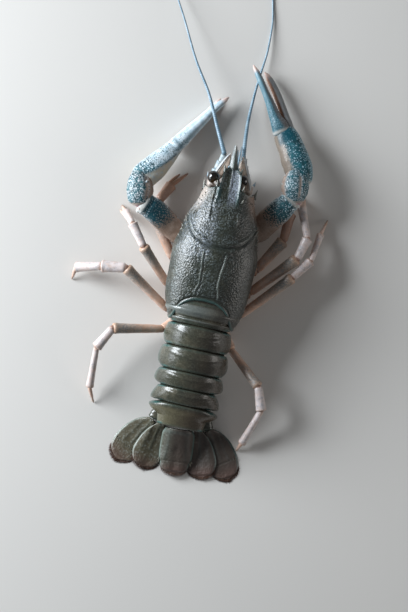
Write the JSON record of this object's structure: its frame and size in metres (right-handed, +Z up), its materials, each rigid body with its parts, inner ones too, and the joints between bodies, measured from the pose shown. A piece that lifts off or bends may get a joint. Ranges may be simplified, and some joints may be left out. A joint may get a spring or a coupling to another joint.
{
  "type": "crayfish",
  "caption": "Life-size still model of a live freshwater crayfish resting on the floor, claws reaching forward and tail fan spread.",
  "frame": {"origin": "on the floor under the chest: the middle of the sternum's flat underside, at the level on which the limbs and tail fan rest", "axes": "+Y forward along the shell towards the beak, +X to the animal's right, +Z up"},
  "size_m": [0.0953, 0.2233, 0.0286],
  "materials": {
    "shell": "semi-matt granular olive-grey shell, cast",
    "tail": "wet-looking glossy olive-green shell, cast",
    "claw": "satin blue-white shell with teal marbling, cast",
    "limb": "satin tan shell with grey-teal marbling, cast",
    "feeler": "satin steel-blue jointed shell, cast",
    "eye": "polished black"
  },
  "bodies": {
    "root": {"carapace": "shell", "sternum": "limb", "mouthparts": "limb", "maxilliped_left": "limb", "maxilliped_right": "limb", "eyestalk_left": "shell", "eyestalk_right": "shell", "eye_left": "eye", "eye_right": "eye", "antennule_left": "feeler", "antennule_right": "feeler", "antenna_base_left": "feeler", "antenna_base_right": "feeler", "antennal_scale_left": "feeler", "antennal_scale_right": "feeler", "antenna_left": "feeler", "antenna_right": "feeler", "cheliped_left_coxa": "claw", "cheliped_left_merus": "claw", "cheliped_left_carpus": "claw", "cheliped_left_propodus": "claw", "cheliped_left_dactyl": "claw", "cheliped_right_coxa": "claw", "cheliped_right_merus": "claw", "cheliped_right_carpus": "claw", "cheliped_right_propodus": "claw", "cheliped_right_dactyl": "claw", "leg_1_left_upper": "limb", "leg_1_left_lower": "limb", "leg_1_right_upper": "limb", "leg_1_right_lower": "limb", "leg_2_left_upper": "limb", "leg_2_left_lower": "limb", "leg_2_right_upper": "limb", "leg_2_right_lower": "limb", "leg_3_left_upper": "limb", "leg_3_left_lower": "limb", "leg_3_right_upper": "limb", "leg_3_right_lower": "limb", "leg_4_left_upper": "limb", "leg_4_left_lower": "limb", "leg_4_right_upper": "limb", "leg_4_right_lower": "limb", "abdomen_1": "tail", "abdomen_2": "tail", "abdomen_3": "tail", "abdomen_4": "tail", "abdomen_5": "tail", "abdomen_6": "tail", "telson": "tail", "uropod_left_protopod": "tail", "uropod_left_exopod": "tail", "uropod_left_endopod": "tail", "uropod_right_protopod": "tail", "uropod_right_exopod": "tail", "uropod_right_endopod": "tail"}
  },
  "joints": []
}
